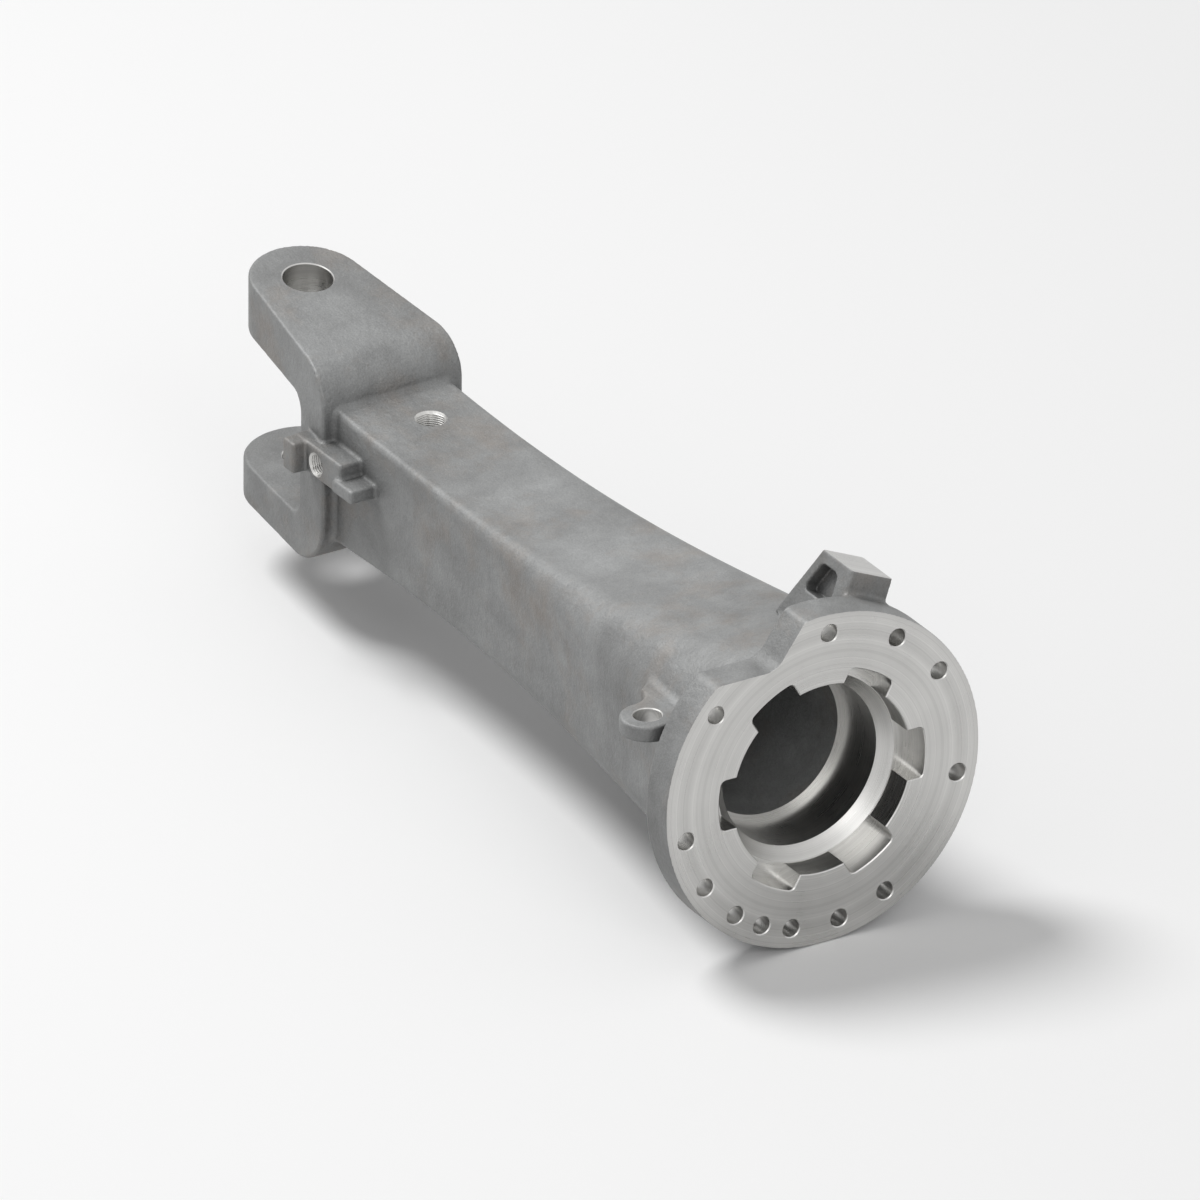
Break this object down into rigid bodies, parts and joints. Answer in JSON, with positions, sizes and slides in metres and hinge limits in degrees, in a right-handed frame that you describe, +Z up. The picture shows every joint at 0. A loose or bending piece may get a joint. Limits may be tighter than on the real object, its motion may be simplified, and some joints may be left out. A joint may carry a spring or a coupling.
{
  "type": "axle housing",
  "caption": "Cast arm of a steered drive axle: a round bolt flange with a slotted brake chamber, a beam that narrows to a square section, and a fork with king-pin eyes.",
  "frame": {"origin": "centre of the flange's mating face, on the shaft axis", "axes": "+X along the shaft, out of the flange; +Z up along the king pins; +Y away from the side with the stop lug"},
  "size_m": [0.864, 0.3003, 0.3126],
  "materials": {
    "cast_iron": "sand cast, with machined faces and bores"
  },
  "bodies": {
    "root": {"axle_housing": "cast_iron"}
  },
  "joints": []
}
